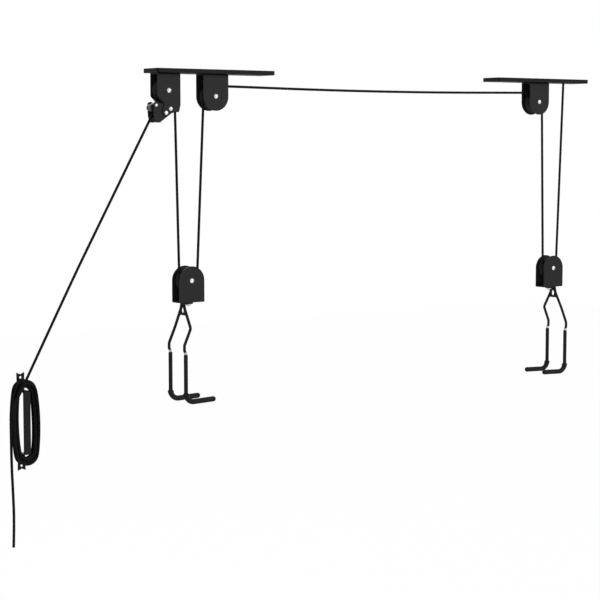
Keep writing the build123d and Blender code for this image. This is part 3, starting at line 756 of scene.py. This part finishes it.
class HOIST_OT_falls(Piece):
    """Hang the four straight falls between the ceiling and the blocks"""

    bl_idname = "hoist.falls"
    bl_label = "Falls"

    def build(self, context):
        joint = sizes().rope_joint
        left_end = LEFT_BLOCK.z + joint
        right_end = RIGHT_BLOCK.z + joint
        right = sheave_fall(RIGHT_AXLE, RIGHT_BLOCK, -1)
        left = sheave_fall(LEFT_AXLE, LEFT_BLOCK, 1)
        lock = sheave_fall(LOCK_AXLE, LEFT_BLOCK, -1)
        falls = [
            ("anchor_fall", anchor_fall(), PLATE_WEB, right_end, "right_block", "rope_fall_anchor"),
            ("right_fall", right, RIGHT_AXLE.z - joint, right_end, "right_block", "rope_fall_right"),
            ("left_fall", left, LEFT_AXLE.z - joint, left_end, "left_block", "rope_fall_left"),
            ("lock_fall", lock, LOCK_AXLE.z - joint, left_end, "left_block", "rope_fall_lock"),
        ]
        for name, fall, top, bottom, block, node in falls:
            start = at_height(fall, top)
            end = at_height(fall, bottom)
            piece, _, _ = rope_piece(name, [start, end])
            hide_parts(node)
            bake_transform(piece)
            stretch_evenly(piece, start, end)


class HOIST_OT_bights(Piece):
    """Lead the rope under the two hanging sheaves"""

    bl_idname = "hoist.bights"
    bl_label = "Rope under the Blocks"

    def build(self, context):
        size = sizes()
        lock = sheave_fall(LOCK_AXLE, LEFT_BLOCK, -1)
        near = sheave_fall(LEFT_AXLE, LEFT_BLOCK, 1)
        far = sheave_fall(RIGHT_AXLE, RIGHT_BLOCK, -1)
        bights = [
            ("left_bight", LEFT_BLOCK, lock, near, "left_block", "rope_bight_left"),
            ("right_bight", RIGHT_BLOCK, far, anchor_fall(), "right_block", "rope_bight_right"),
        ]
        for name, centre, left, right, body, node in bights:
            start = at_height(left, centre.z + size.rope_joint)
            end = at_height(right, centre.z + size.rope_joint)
            first = heading(centre, left[1]) % (2 * math.pi)
            last = heading(centre, right[1]) % (2 * math.pi)
            last += 2 * math.pi if last < first else 0
            under = turn_points(centre, size.pitch_radius, first, last, BLOCK_STEPS)
            piece, _, _ = rope_piece(name, smooth_line(name + "_line", [start, *under, end]))
            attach(piece, body)
            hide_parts(node)


# Where the span leaves a sheave, in metres from its axle. A line with control points at its thirds
# hangs in its middle by this share of theirs.
SPAN_LEAVE = 0.024
THIRDS_SHARE = 3 / 4


class HOIST_OT_span(Piece):
    """Lead the rope over the two ceiling sheaves and along the span between them"""

    bl_idname = "hoist.span"
    bl_label = "Span"

    def build(self, context):
        size = sizes()
        left = sheave_fall(LEFT_AXLE, LEFT_BLOCK, 1)
        right = sheave_fall(RIGHT_AXLE, RIGHT_BLOCK, -1)
        start = at_height(left, LEFT_AXLE.z - size.rope_joint)
        end = at_height(right, RIGHT_AXLE.z - size.rope_joint)
        radius = size.pitch_radius
        top = math.pi / 2
        up = turn_points(LEFT_AXLE, radius, heading(LEFT_AXLE, left[0]), top, CEILING_STEPS)
        down = turn_points(RIGHT_AXLE, radius, top, heading(RIGHT_AXLE, right[0]), CEILING_STEPS)
        first = LEFT_AXLE + Vector((SPAN_LEAVE, 0, radius))
        last = RIGHT_AXLE + Vector((-SPAN_LEAVE, 0, radius))
        sag = Vector((0, 0, -size.span_sag / THIRDS_SHARE))
        across = [first, first.lerp(last, 1 / 3) + sag, first.lerp(last, 2 / 3) + sag, last]
        route = [start, *up, *across, *down, end]
        piece, _, _ = rope_piece("span_rope", smooth_line("span_line", route))
        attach(piece, "rack")
        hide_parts("rope_span")


# Stopper knot above the right plate's web, as steps in metres from the rope's hole: one flat turn
KNOT_STEPS = [(0, 0, 0), (0, 0, 0.0027), (0.0010, 0.0006, 0.0044), (0.0036, 0.0030, 0.0046),
              (0.0030, 0.0036, 0.0046), (-0.0010, 0.0040, 0.0045), (-0.0040, 0.0010, 0.0043),
              (-0.0030, -0.0034, 0.0043), (0.0012, -0.0040, 0.0043), (0.0038, -0.0018, 0.0044)]


class HOIST_OT_knot(Piece):
    """Tie the stopper knot that holds the rope's end above the right plate"""

    bl_idname = "hoist.knot"
    bl_label = "Stopper Knot"

    def build(self, context):
        hole = Vector((ANCHOR_X, 0, PLATE_WEB))
        route = [hole + Vector(step) for step in KNOT_STEPS]
        piece, _, _ = rope_piece("stopper_knot", smooth_line("knot_line", route))
        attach(piece, "rack")
        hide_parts("rope_anchor_knot")


# Rubber dip on a hook, in metres from the bottom of the block: its top, and the rod under it
DIP_TOP = -0.086
DIP_LEG = -0.021
DIP_HEEL = -0.1675
DIP_TOE = (0.033, -0.1655)
DIP_SIDE = 0.025
HEEL_RADIUS = 0.015
ROD_RADIUS = 0.0025

# Collar between leg and foot and lip at the top of the dip, in metres
COLLAR_HEIGHT = 0.0155
COLLAR_EASE = 0.0022
COLLAR_SWELL = 0.0006
LIP_LENGTH = 0.0012

# Rings of the dip's mesh: spacing in metres, steps round the heel, and share of the radius left at the tip
DIP_RING = 0.0009
HEEL_STEPS = 24
TIP_SHARE = 0.02


def dip_line(block, way, side):
    """Rings' places down the leg, round the heel and along the foot to just past the toe."""
    rise = math.atan2(DIP_TOE[1] - DIP_HEEL, DIP_TOE[0] - DIP_LEG)
    turn = math.pi / 2 + rise
    reach = HEEL_RADIUS * math.tan(turn / 2)
    centre = (DIP_LEG + HEEL_RADIUS, DIP_HEEL + reach)
    foot = (math.cos(rise), math.sin(rise))
    tip = sizes().sleeve_foot
    flat = [(DIP_LEG, DIP_TOP)]
    for step in range(HEEL_STEPS + 1):
        angle = math.pi + turn * step / HEEL_STEPS
        flat.append((centre[0] + HEEL_RADIUS * math.cos(angle), centre[1] + HEEL_RADIUS * math.sin(angle)))
    flat.append((DIP_TOE[0] + foot[0] * tip, DIP_TOE[1] + foot[1] * tip))
    return [block + Vector((way * x, side * DIP_SIDE, z)) for x, z in flat]


def dip_radius(step, length):
    """Radius of a dip at each of its rings, with its lip, its collar and its round tip."""
    size = sizes()
    collar = DIP_TOP - DIP_HEEL - COLLAR_HEIGHT

    def radius(ring, angle):
        run = ring * step
        grown = soft_share((run - collar) / COLLAR_EASE + 0.5)
        swell = math.exp(-((run - collar - COLLAR_EASE) / (2 * COLLAR_EASE)) ** 2)
        out = size.sleeve_leg + (size.sleeve_foot - size.sleeve_leg + COLLAR_SWELL * swell) * grown
        left = length - run
        if left < size.sleeve_foot:
            inside = 1 - left / size.sleeve_foot
            out *= math.sqrt(max(1 - inside**2, TIP_SHARE**2))
        if run < LIP_LENGTH:
            lip = 1 - run / LIP_LENGTH
            out = ROD_RADIUS + (out - ROD_RADIUS) * math.sqrt(max(1 - lip**2, 0))
        return out

    return radius


class HOIST_OT_sleeves(Piece):
    """Dip the four prongs of the hooks in soft rubber, thin on the legs and thick on the feet"""

    bl_idname = "hoist.sleeves"
    bl_label = "Rubber Dip"

    def build(self, context):
        finish = rubber_dip()
        for name, way in (("left", 1), ("right", -1)):
            housing = f"{name}_block_housing"
            block = Vector((middle_x(housing), 0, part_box(housing)[0][2]))
            for place, side in (("front", -1), ("back", 1)):
                line, length = even_steps(dip_line(block, way, side), DIP_RING)
                radius = dip_radius(length / (len(line) - 1), length)
                piece = skin(f"{name}_hook_dip_{place}", line, radius, sizes().sleeve_sides)
                piece.data.materials.append(finish)
                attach(piece, f"{name}_hook")
                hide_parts(f"{name}_hook_sleeve_{place}")


# Camera, fitted to the photograph: place in metres, turn and tilt in radians, sensor in millimetres
CAMERA_PLACE = Vector((-1.5771, -2.4909, -0.1193))
CAMERA_TURN = 0.616
CAMERA_TILT = -0.092
FOCAL_PIXELS = 1726.77
IMAGE_PIXELS = 600
SENSOR = 36.0

# Lamps: name, place and size in metres, and power in watts. All of them look at one point.
LAMP_AIM = (0.2, 0, -0.3)
LAMPS = [
    ("key_lamp", (1.5, -2.4, 0.7), 1.8, 46),
    ("fill_lamp", (-2.4, -1.6, 0.5), 1.6, 8),
    ("rim_lamp", (0.4, 2.4, 0.9), 1.8, 25),
    ("under_lamp", (0.2, -1.0, -1.3), 1.4, 8),
]

# Surround and floor: light on the hoist, colour, share of pure white that seen rays meet, place and half size
WHITE = (1.0, 1.0, 1.0, 1.0)
SURROUND_LIGHT = 0.45
FLOOR_COLOUR = (0.9, 0.9, 0.9, 1.0)
FLOOR_WHITE = 0.985
FLOOR_PLACE = (0.2, 0, -1.42)
FLOOR_HALF = 8.0


def lamp(name, place, size, power):
    """Soft square lamp."""
    data = bpy.data.lights.new(name, "AREA")
    data.size = size
    data.energy = power
    holder = bpy.data.objects.new(name, data)
    holder.location = place
    holder.rotation_euler = (Vector(LAMP_AIM) - Vector(place)).to_track_quat("-Z", "Y").to_euler()
    bpy.context.collection.objects.link(holder)


def seen_ray(finish):
    """1 for rays from the camera and for what shines through or off the hoist, 0 for light on it."""
    camera = finish.node("ShaderNodeLightPath", output="Is Camera Ray")
    return camera.larger(camera.beside("Is Glossy Ray")).larger(camera.beside("Is Transmission Ray"))


class WorldFinish(Finish):
    """The world's node tree, with the same one method for its nodes."""

    def __init__(self, world):
        world.use_nodes = True
        self.material = world
        self.tree = world.node_tree
        self.shader = self.tree.nodes["Background"]


class HOIST_OT_stage(Piece):
    """Set the camera, soft lamps, pale floor and white surround"""

    bl_idname = "hoist.stage"
    bl_label = "Stage"

    def build(self, context):
        scene = context.scene
        scene.view_settings.view_transform = "Standard"
        data = bpy.data.cameras.new("camera")
        data.sensor_width = SENSOR
        data.lens = FOCAL_PIXELS / IMAGE_PIXELS * SENSOR
        camera = bpy.data.objects.new("camera", data)
        camera.location = CAMERA_PLACE
        level = math.cos(CAMERA_TILT)
        way = Vector((math.sin(CAMERA_TURN) * level, math.cos(CAMERA_TURN) * level, math.sin(CAMERA_TILT)))
        camera.rotation_euler = way.to_track_quat("-Z", "Y").to_euler()
        scene.collection.objects.link(camera)
        scene.camera = camera
        for each in LAMPS:
            lamp(*each)
        world = scene.world or bpy.data.worlds.new("surround")
        scene.world = world
        surround = WorldFinish(world)
        surround.set(Color=WHITE, Strength=SURROUND_LIGHT + seen_ray(surround) * (1 - SURROUND_LIGHT))
        mesh = bpy.data.meshes.new("floor")
        corners = [(-1, -1), (1, -1), (1, 1), (-1, 1)]
        mesh.from_pydata([(x * FLOOR_HALF, y * FLOOR_HALF, 0) for x, y in corners], [], [(0, 1, 2, 3)])
        floor = bpy.data.objects.new("floor", mesh)
        floor.location = FLOOR_PLACE
        bpy.context.collection.objects.link(floor)
        pale = Finish("pale_floor")
        pale.set(Base_Color=FLOOR_COLOUR, Roughness=0.9)
        matt = Wire(pale, pale.shader.outputs[0])
        glow = pale.node("ShaderNodeEmission", None, {"Color": WHITE, "Strength": 1.0})
        mixed = pale.node("ShaderNodeMixShader", None, {0: seen_ray(pale) * FLOOR_WHITE, 1: matt, 2: glow})
        pale.fill(pale.tree.nodes["Material Output"].inputs["Surface"], mixed)
        mesh.materials.append(pale.material)


OPERATORS = [HOIST_OT_stage, HOIST_OT_metalwork, HOIST_OT_free_rope, HOIST_OT_falls, HOIST_OT_bights,
             HOIST_OT_span, HOIST_OT_knot, HOIST_OT_sleeves]


class HOIST_PT_panel(bpy.types.Panel):
    """Lists the hoist's pieces, sizes and colours in the sidebar"""

    bl_idname = "HOIST_PT_panel"
    bl_label = "Ceiling Rope Hoist"
    bl_space_type = "VIEW_3D"
    bl_region_type = "UI"
    bl_category = "Hoist"

    def draw(self, context):
        for group in (context.scene.hoist_sizes, context.scene.hoist_colours):
            for name in group.__annotations__:
                self.layout.prop(group, name)
        for operator in OPERATORS:
            self.layout.operator(operator.bl_idname)


CLASSES = [HoistSizes, HoistColours, *OPERATORS, HOIST_PT_panel]


def register():
    """Add the hoist's classes and its sizes and colours to Blender."""
    for each in CLASSES:
        bpy.utils.register_class(each)
    bpy.types.Scene.hoist_sizes = PointerProperty(type=HoistSizes)
    bpy.types.Scene.hoist_colours = PointerProperty(type=HoistColours)


def unregister():
    """Take them away again."""
    del bpy.types.Scene.hoist_colours
    del bpy.types.Scene.hoist_sizes
    for each in reversed(CLASSES):
        bpy.utils.unregister_class(each)


def main():
    """Build every piece."""
    register()
    for operator in OPERATORS:
        group, name = operator.bl_idname.split(".")
        getattr(getattr(bpy.ops, group), name)()


if __name__ == "__main__":
    main()
